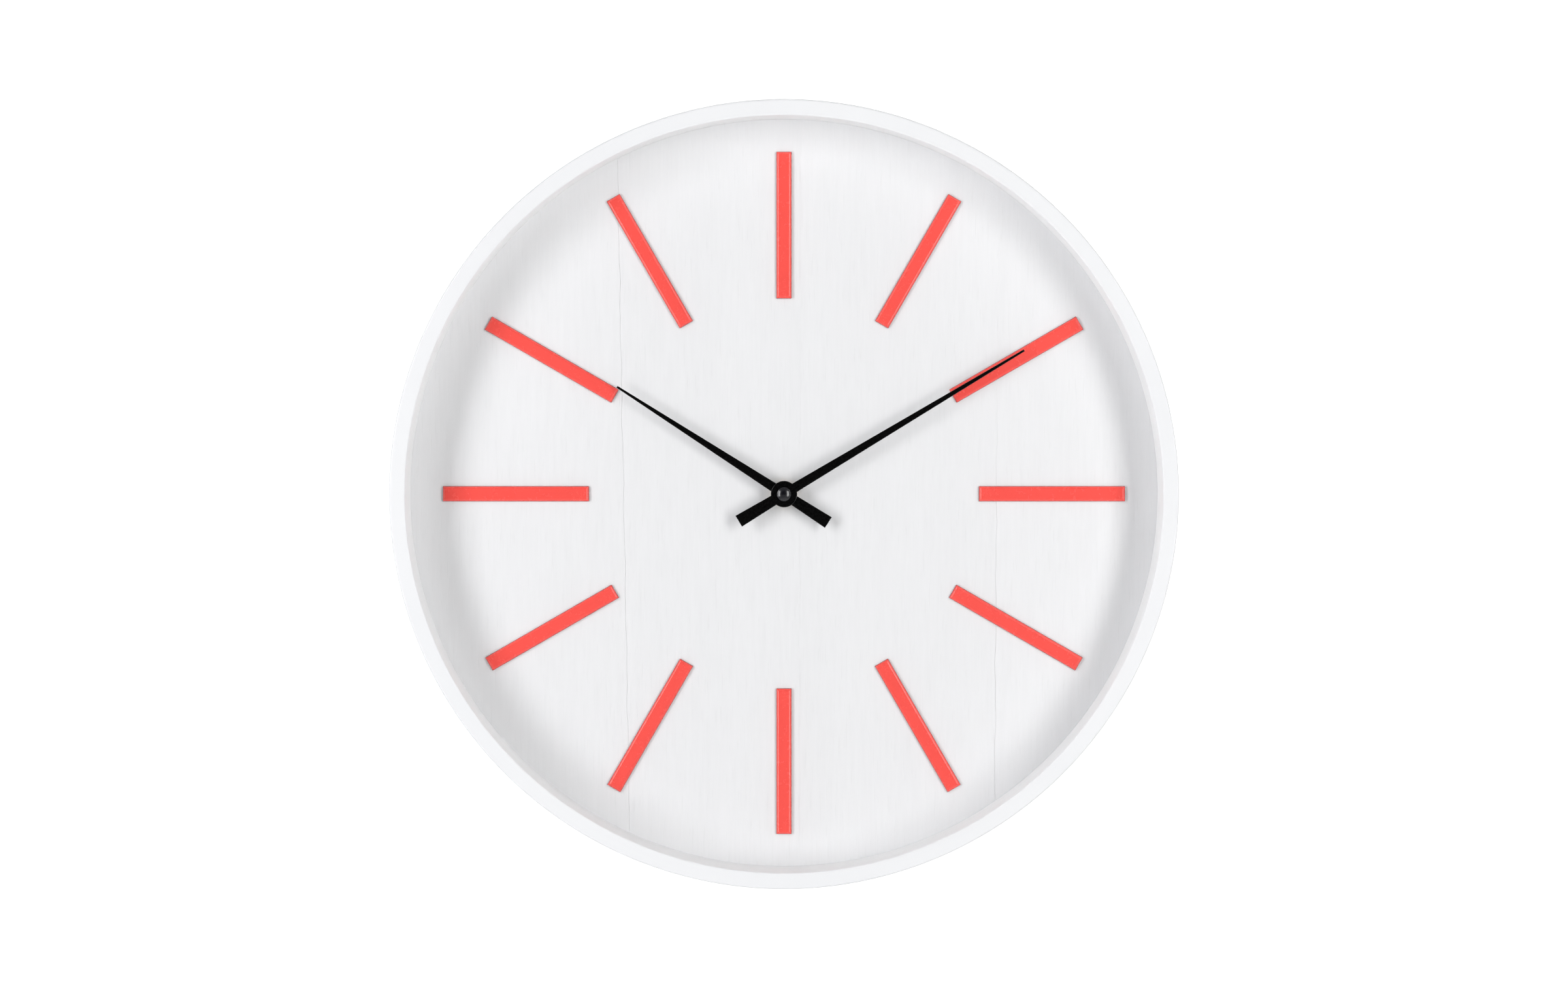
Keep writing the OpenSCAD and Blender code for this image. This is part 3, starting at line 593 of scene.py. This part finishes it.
def ease(name, width, steps=2, sharp=35):
    """Rounds off the edges of a piece from the CAD, as sanding, moulding or stamping does."""
    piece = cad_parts[name]
    weld = piece.modifiers.new("weld", "WELD")
    weld.merge_threshold = 2e-6
    flat = piece.modifiers.new("flat", "DECIMATE")
    flat.decimate_type = "DISSOLVE"
    flat.angle_limit = math.radians(0.5)
    edge = piece.modifiers.new("edge", "BEVEL")
    edge.width = width
    edge.segments = steps
    edge.limit_method = "ANGLE"
    edge.angle_limit = math.radians(sharp)
    even = piece.modifiers.new("even", "WEIGHTED_NORMAL")
    even.keep_sharp = False


def softwood(name, pale, dark, grain_along):
    """Sawn wood: long grain with darker late wood and a fuzzy surface."""
    wood = new_finish(name, pale, 0.65)
    stretch = tuple(0.05 if k == grain_along else 1 for k in range(3))
    rings = noise(wood, 320, 3, stretch)
    fuzz = noise(wood, 2200, 3, stretch)
    return dress(
        wood,
        colour=tint(wood, spread(wood, rings, 0, 1, 0.4, 0.66), pale, dark),
        roughness=spread(wood, fuzz, 0.55, 0.8),
        height=fuzz,
        strength=0.4,
        depth=0.0001,
    )


refinish(softwood("pine_blocks", (0.62, 0.43, 0.24), (0.48, 0.29, 0.13), 2), "glue_blocks")
refinish(softwood("birch_rail", (0.66, 0.5, 0.31), (0.55, 0.38, 0.21), 0), "hanger_rail")
ease("glue_blocks", 0.0005)
ease("hanger_rail", 0.0006)

zinc = new_finish("zinc_plate", (0.62, 0.64, 0.66), 0.34, Metallic=1.0)
zinc_place = node(zinc, "TexCoord", {}).outputs["Object"]
spangle = node(zinc, "TexVoronoi", {"Vector": zinc_place, "Scale": 700.0})
dress(
    zinc,
    colour=tint(zinc, spangle.outputs["Color"], (0.5, 0.52, 0.54), (0.7, 0.71, 0.73)),
    roughness=spread(zinc, noise(zinc, 900, 4), 0.26, 0.46),
    height=noise(zinc, 2600, 2),
    strength=0.15,
    depth=0.00003,
)
refinish(zinc, "hanger_plate", "hanger_screws")
ease("hanger_plate", 0.0002)

# ---- Movement case ----
# A black moulded box and its snap-in cover hold the works. The faces have a fine spark eroded texture
# and the bay for the battery is open to the back.
moulding = new_finish("black_moulding", (0.013, 0.013, 0.014), 0.5)
moulding_cloud = spread(moulding, noise(moulding, 90), 0, 1)
dress(
    moulding,
    colour=tint(moulding, moulding_cloud, (0.011, 0.011, 0.012), (0.017, 0.017, 0.018)),
    roughness=spread(moulding, noise(moulding, 1500), 0.42, 0.6),
    height=noise(moulding, 3200, 2),
    strength=0.35,
    depth=0.00004,
)
refinish(moulding, "movement_front", "movement_cover", "train_plate")
ease("movement_front", 0.0002)
ease("movement_cover", 0.00015)

# ---- Wheels ----
# The wheels and arbors are moulded in acetal, and the minute pipe is turned brass.
# The setting wheel comes out through the cover with a fluted knob, for setting the hands.
acetal = new_finish(
    "ivory_acetal", (0.74, 0.71, 0.62), 0.4, Subsurface_Weight=0.15, Subsurface_Scale=0.001
)
acetal_cloud = spread(acetal, noise(acetal, 120), 0, 1)
dress(
    acetal,
    colour=tint(acetal, acetal_cloud, (0.7, 0.67, 0.58), (0.78, 0.75, 0.66)),
    roughness=spread(acetal, noise(acetal, 800), 0.33, 0.5),
    height=noise(acetal, 1500),
    strength=0.1,
    depth=0.00003,
)
refinish(acetal, "hour_wheel", "minute_wheel", "setting_knob", "centre_wheel", "third_wheel")
refinish(acetal, "seconds_wheel", "intermediate_wheel", "rotor_pinion", "coil_bobbin")
refinish(brass, "minute_pipe")
ease("setting_knob", 0.00012)

# ---- Motor ----
# A ring magnet on the rotor turns in a stator of soft nickel iron. The coil is enamelled copper wire
# wound on a bobbin over a core of the same iron.
ferrite = new_finish("ferrite_magnet", (0.045, 0.045, 0.05), 0.45, Metallic=0.3)
dress(
    ferrite,
    roughness=spread(ferrite, noise(ferrite, 900), 0.35, 0.6),
    height=noise(ferrite, 2200, 4),
    strength=0.3,
    depth=0.00004,
)
refinish(ferrite, "rotor_magnet")
core_iron = new_finish("nickel_iron", (0.5, 0.49, 0.47), 0.35, Metallic=1.0)
iron_cloud = spread(core_iron, noise(core_iron, 250), 0, 1)
dress(
    core_iron,
    colour=tint(core_iron, iron_cloud, (0.44, 0.43, 0.41), (0.56, 0.55, 0.53)),
    roughness=spread(core_iron, noise(core_iron, 900, 3, (1, 1, 0.1)), 0.28, 0.45),
)
refinish(core_iron, "stator", "coil_core")
wire = new_finish("enamelled_wire", (0.6, 0.22, 0.08), 0.3, Metallic=0.9, Coat_Weight=0.5)
place = node(wire, "TexCoord", {}).outputs["Object"]
turns = node(wire, "TexWave", {"Vector": place, "Scale": 2000.0, "Distortion": 0.6}, bands_direction="Z")
dress(
    wire,
    colour=tint(wire, turns.outputs["Fac"], (0.4, 0.13, 0.045), (0.68, 0.27, 0.1)),
    height=turns.outputs["Fac"],
    strength=0.6,
    depth=0.0001,
)
refinish(wire, "coil_winding")

# ---- Circuit ----
# A narrow board of glass fibre laminate under green solder mask carries the quartz can and the chip.
# The chip is bonded to the board and covered by a drop of black resin.
solder_mask = new_finish("green_solder_mask", (0.02, 0.13, 0.05), 0.35, Coat_Weight=0.3)
weave = noise(solder_mask, 1500, 2)
mask_cloud = spread(solder_mask, noise(solder_mask, 200), 0, 1)
dress(
    solder_mask,
    colour=tint(solder_mask, mask_cloud, (0.015, 0.1, 0.04), (0.03, 0.17, 0.07)),
    roughness=spread(solder_mask, weave, 0.28, 0.42),
    height=weave,
    strength=0.2,
    depth=0.00003,
)
refinish(solder_mask, "circuit_board")
refinish(core_iron, "quartz_crystal")
resin = new_finish("black_resin", (0.01, 0.01, 0.011), 0.25)
dress(
    resin,
    roughness=spread(resin, noise(resin, 500), 0.2, 0.35),
    height=noise(resin, 700),
    strength=0.2,
)
refinish(resin, "chip_cap")

# ---- Contacts ----
# Both contacts are stamped from nickel plated spring steel and run up the side walls to the circuit.
# The minus one carries a tapered coil spring. The plus one is a plain strip that the button meets.
spring_steel = new_finish("nickel_plated_spring", (0.66, 0.64, 0.6), 0.25, Metallic=1.0)
steel_cloud = spread(spring_steel, noise(spring_steel, 400), 0, 1)
dress(
    spring_steel,
    colour=tint(spring_steel, steel_cloud, (0.58, 0.56, 0.52), (0.72, 0.7, 0.66)),
    roughness=spread(spring_steel, noise(spring_steel, 1200, 3), 0.18, 0.36),
)
can_low, can_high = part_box("battery_can")
cell_r = (can_high.z - can_low.z) / 2
cell_at = Vector((0, (can_low.y + can_high.y) / 2, (can_low.z + can_high.z) / 2))
strip_gauge = 0.0004
stamped_edge = 0.0001
spring_wire_r = 0.00026
spring_turns = 3.5
spring_wide_r = 0.0036
spring_taper = 0.0019
spring_steps = 140


def tube_into(shape, path, radius, sides=10):
    """A round wire along a path, closed at both ends."""
    rings = []
    for k, spot in enumerate(path):
        ahead = (path[min(k + 1, len(path) - 1)] - path[max(k - 1, 0)]).normalized()
        across = ahead.cross(Vector((1, 0, 0))).normalized()
        over = ahead.cross(across)
        turns = [2 * math.pi * j / sides for j in range(sides)]
        round_it = [spot + radius * (math.cos(a) * across + math.sin(a) * over) for a in turns]
        rings.append([shape.verts.new(place) for place in round_it])
    for one, two in zip(rings, rings[1:]):
        for j in range(sides):
            shape.faces.new([one[j - 1], one[j], two[j], two[j - 1]])
    shape.faces.new(rings[0])
    shape.faces.new(rings[-1])


def contact_into(shape, low, high, outer_x):
    """The flat strip of a contact, with its stamped edges eased."""
    made = bmesh.ops.create_cube(shape, size=1)["verts"]
    bmesh.ops.scale(shape, vec=(strip_gauge, high.y - low.y, high.z - low.z), verts=made)
    middle = outer_x - math.copysign(strip_gauge / 2, outer_x)
    bmesh.ops.translate(shape, vec=(middle, (low.y + high.y) / 2, (low.z + high.z) / 2), verts=made)
    edges = list({e for v in made for e in v.link_edges})
    bmesh.ops.bevel(shape, geom=edges, offset=stamped_edge, segments=2, affect="EDGES", profile=0.5)


plus_low, plus_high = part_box("contact_plus")
minus_shape = bmesh.new()
minus_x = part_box("contact_minus")[0].x
contact_into(minus_shape, plus_low, plus_high, minus_x)
spring_start = minus_x + strip_gauge + spring_wire_r / 2
spring_end = can_low.x - 0.00005 - spring_wire_r
coil = []
for k in range(spring_steps + 1):
    part = k / spring_steps
    a = 2 * math.pi * spring_turns * part
    reach = spring_wide_r - spring_taper * part
    x = spring_start + (spring_end - spring_start) * part
    coil.append(cell_at + Vector((x, reach * math.cos(a), reach * math.sin(a))))
tube_into(minus_shape, coil, spring_wire_r)
contact_minus = new_piece("minus_contact_and_spring", minus_shape, [spring_steel])
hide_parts("contact_minus")
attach(contact_minus, "case")
refinish(spring_steel, "contact_plus")
ease("contact_plus", stamped_edge)

# ---- Battery ----
# One AA cell lies across the bay. The steel can is drawn, with a crimped shoulder and a button.
# A shrunk plastic sleeve, slate blue with a white ring, covers its side and turns over both ends.
can_shape = bmesh.new()
base_x = can_low.x + 0.0002  # the shoulder round the flat minus end
base_round = 0.0006
can_outline = [(0, can_low.x), (0.0052, can_low.x), (0.0055, base_x), (0.006, base_x)]
can_outline += arc((cell_r - base_round, can_low.x + 0.0007), base_round, 240, 360)
crimp_x = can_high.x - 0.0013
crimp_round = 0.0009
can_outline += arc((cell_r - crimp_round, crimp_x - crimp_round), crimp_round, 0, 80)
can_outline += [(0.0056, crimp_x), (0.0053, crimp_x - 0.0004), (0.0031, crimp_x - 0.0003)]
button_round = 0.0003
can_outline += arc((0.00245, can_high.x - button_round), button_round, 0, 90, 4)
can_outline += [(0, can_high.x)]
turn_into(can_shape, can_outline, 96, cell_at, along="X")
can = new_piece("cell_can", can_shape, [spring_steel], sharp=50)
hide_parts("battery_can")
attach(can, "battery")

sleeve_low, sleeve_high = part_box("battery_sleeve")
sleeve_r = (sleeve_high.z - sleeve_low.z) / 2
sleeve_film = new_finish("cell_sleeve", (0.03, 0.09, 0.16), 0.3, Coat_Weight=0.3, Coat_Roughness=0.15)
film_place = node(sleeve_film, "TexCoord", {}).outputs["Object"]
along_cell = node(sleeve_film, "SeparateXYZ", {0: film_place}).outputs["X"]
band_low_x = 0.0145
band_high_x = 0.0165
past_start = node(sleeve_film, "Math", {0: along_cell, 1: band_low_x}, operation="GREATER_THAN")
before_end = node(sleeve_film, "Math", {0: along_cell, 1: band_high_x}, operation="LESS_THAN")
in_band = {0: past_start.outputs[0], 1: before_end.outputs[0]}
band = node(sleeve_film, "Math", in_band, operation="MULTIPLY").outputs[0]
film_cloud = spread(sleeve_film, noise(sleeve_film, 300), 0, 1)
slate = tint(sleeve_film, film_cloud, (0.026, 0.08, 0.145), (0.034, 0.1, 0.175))
two_tone = {"Factor": band, 6: slate, 7: (0.75, 0.76, 0.78, 1)}
dress(
    sleeve_film,
    colour=node(sleeve_film, "Mix", two_tone, data_type="RGBA").outputs[2],
    roughness=spread(sleeve_film, noise(sleeve_film, 500), 0.22, 0.4),
    height=noise(sleeve_film, 300),
    strength=0.1,
    depth=0.00005,
)
sleeve_shape = bmesh.new()
low_turn = 0.0005
high_turn = 0.0007
film_inner_r = cell_r + 0.00002
sleeve_outline = arc((sleeve_r - low_turn, sleeve_low.x + 0.0003), low_turn, 270, 360)
sleeve_outline += arc((sleeve_r - high_turn, sleeve_high.x - 0.0002), high_turn, 0, 70)
sleeve_outline += [(cell_r - 0.0004, sleeve_high.x + 0.0002), (film_inner_r, sleeve_high.x - 0.0002)]
sleeve_outline += [(film_inner_r, sleeve_low.x + 0.0005), (cell_r - 0.0003, sleeve_low.x + 0.00005)]
turn_into(sleeve_shape, sleeve_outline, 96, cell_at, along="X")
sleeve = new_piece("cell_sleeve", sleeve_shape, [sleeve_film], sharp=50)
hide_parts("battery_sleeve")
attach(sleeve, "battery")

# ---- Studio ----
# The clock hangs in front of a bright white backdrop over a pale floor. A tall soft box stands on each
# side, with a weak fill in front, and the room in front of the clock is dim. Two lights behind the
# clock, above and below, brighten the outside of the hoop.
clock_centre = Vector((0, rim_y, hands_axis.z))
camera_reach = 1.9
camera_rise = 0.054
view_w = 0.793  # the width that the camera takes in at the clock
aim_rise = 0.0009
sensor_w = 36

camera_data = bpy.data.cameras.new("camera")
camera = bpy.data.objects.new("camera", camera_data)
bpy.context.scene.collection.objects.link(camera)
camera.location = clock_centre + Vector((0, -camera_reach, camera_rise))
aim = clock_centre + Vector((0, 0, aim_rise)) - camera.location
camera.rotation_euler = aim.to_track_quat("-Z", "Y").to_euler()
camera_data.sensor_width = sensor_w
camera_data.lens = sensor_w * aim.length / view_w
bpy.context.scene.camera = camera


def stage_plane(name, corners, finish):
    """A flat sheet of the studio, which is not part of the clock."""
    shape = bmesh.new()
    shape.faces.new([shape.verts.new(corner) for corner in corners])
    sheet = new_piece(name, shape, [finish])
    sheet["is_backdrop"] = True


backdrop_glow = new_finish("white_backdrop", (1, 1, 1), 0.9, Emission_Strength=1.05)
backdrop_glow.node_tree.nodes["Principled BSDF"].inputs["Emission Color"].default_value = (1, 1, 1, 1)
backdrop_y = 3.0
backdrop_side = 9
backdrop_top = 2.5
floor_z = -1.5
floor_side = 12
foot = [(-backdrop_side, backdrop_y, floor_z), (backdrop_side, backdrop_y, floor_z)]
head = [(backdrop_side, backdrop_y, backdrop_top), (-backdrop_side, backdrop_y, backdrop_top)]
stage_plane("backdrop", foot + head, backdrop_glow)
floor_light = 0.42
floor_paint = new_finish("pale_floor", (0.8, 0.8, 0.8), 0.7)
floor_cloud = spread(floor_paint, noise(floor_paint, 3), 0, 1)
dress(floor_paint, colour=tint(floor_paint, floor_cloud, (0.78, 0.78, 0.78), (0.82, 0.82, 0.82)))
direct = node(floor_paint, "LightPath", {}).outputs["Is Camera Ray"]
floor_glow = node(floor_paint, "Math", {0: direct, 1: floor_light}, operation="MULTIPLY").outputs[0]
floor_shader = floor_paint.node_tree.nodes["Principled BSDF"]
floor_shader.inputs["Emission Color"].default_value = (1, 1, 1, 1)
floor_paint.node_tree.links.new(floor_glow, floor_shader.inputs["Emission Strength"])
floor_signs = ((-1, -1), (1, -1), (1, 1), (-1, 1))
stage_plane("floor", [(x * floor_side, y * floor_side, floor_z) for x, y in floor_signs], floor_paint)


def soft_box(name, angle, reach, size, power, colour, rise=0.0, shines=True):
    """A rectangular light aimed at the dial, turned from straight in front by an angle in degrees."""
    lamp = bpy.data.lights.new(name, "AREA")
    lamp.shape = "RECTANGLE"
    lamp.size, lamp.size_y = size
    lamp.energy = power
    lamp.color = colour
    box = bpy.data.objects.new(name, lamp)
    bpy.context.scene.collection.objects.link(box)
    a = math.radians(angle)
    box.location = clock_centre + Vector((reach * math.sin(a), -reach * math.cos(a), rise))
    box.rotation_euler = (clock_centre - box.location).to_track_quat("-Z", "Y").to_euler()
    box.visible_camera = False
    box.visible_glossy = shines


cool_white = (0.985, 0.99, 1.0)
warm_white = (1.0, 1.0, 0.99)
plain_white = (1.0, 1.0, 1.0)
tall_box = (0.46, 1.45)
wrap_box = (1.2, 0.5)
soft_box("soft_box_left", angle=-49, reach=1.6, size=tall_box, power=15.6, colour=cool_white, rise=0.13)
soft_box("soft_box_right", angle=40, reach=1.6, size=tall_box, power=14.7, colour=warm_white, rise=0.13)
soft_box("fill", 0, 2.6, size=(1.2, 1.2), power=3.6, colour=plain_white, rise=0.1, shines=False)
soft_box("wrap_above", 180, 0.6, size=wrap_box, power=5.5, colour=plain_white, rise=1.4, shines=False)
soft_box("wrap_below", 180, 0.6, size=wrap_box, power=5.5, colour=plain_white, rise=-1.4, shines=False)

room_sides = 0.32
room_front = 0.015
room_seen = 0.9  # the camera sees a bright room past the edge of the backdrop
world = bpy.data.worlds.new("studio")
bpy.context.scene.world = world
world.use_nodes = True
tree = world.node_tree
room = tree.nodes["Background"]
facing = tree.nodes.new("ShaderNodeVectorMath")
facing.operation = "DOT_PRODUCT"
facing.inputs[1].default_value = (0, -1, 0)
tree.links.new(tree.nodes.new("ShaderNodeTexCoord").outputs["Generated"], facing.inputs[0])
dim = tree.nodes.new("ShaderNodeMapRange")
dim.interpolation_type = "SMOOTHSTEP"
dim_range = (("From Min", 0.6), ("From Max", 0.97), ("To Min", room_sides), ("To Max", room_front))
for socket, value in dim_range:
    dim.inputs[socket].default_value = value
tree.links.new(facing.outputs["Value"], dim.inputs["Value"])
seen = tree.nodes.new("ShaderNodeMix")
seen.data_type = "FLOAT"
tree.links.new(tree.nodes.new("ShaderNodeLightPath").outputs["Is Camera Ray"], seen.inputs[0])
tree.links.new(dim.outputs["Result"], seen.inputs[2])
seen.inputs[3].default_value = room_seen
tree.links.new(seen.outputs[0], room.inputs["Strength"])
room.inputs["Color"].default_value = (0.985, 0.992, 1, 1)

bpy.context.scene.view_settings.view_transform = "Standard"

low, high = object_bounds()
